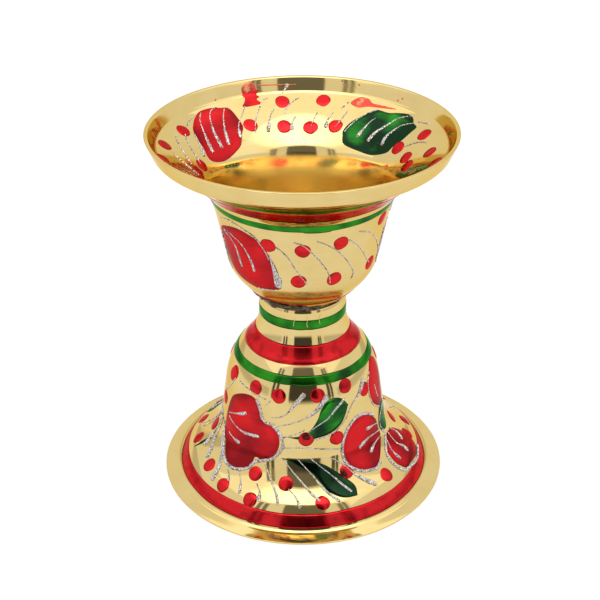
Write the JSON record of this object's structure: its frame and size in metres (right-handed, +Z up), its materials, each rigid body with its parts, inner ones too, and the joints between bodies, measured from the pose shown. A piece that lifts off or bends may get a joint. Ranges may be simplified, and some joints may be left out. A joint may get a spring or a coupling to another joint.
{
  "type": "pedestal diya",
  "caption": "Pedestal oil lamp: a spun brass trumpet bowl soldered to the neck of a hollow bell base with a flat flange, ringed by translucent red and green lacquer bands.",
  "frame": {"origin": "centre of the underside of the flange, on the table", "axes": "+Z up along the lamp's axis; -Y faces the viewer of the picture"},
  "size_m": [0.09, 0.09, 0.1147],
  "materials": {
    "brass": "spun and mirror polished, pale gold",
    "red_lacquer": "translucent gloss lacquer over brass",
    "green_lacquer": "translucent gloss lacquer over brass",
    "solder": "dull grey soft solder, lumpy"
  },
  "bodies": {
    "root": {"base": "brass", "foot_red_band": "red_lacquer", "shoulder_green_band": "green_lacquer", "shoulder_red_band": "red_lacquer", "neck_green_band": "green_lacquer", "solder_joint": "solder", "bowl": "brass", "bowl_foot_red_line": "red_lacquer", "bowl_green_band": "green_lacquer", "bowl_red_band": "red_lacquer"}
  },
  "joints": []
}
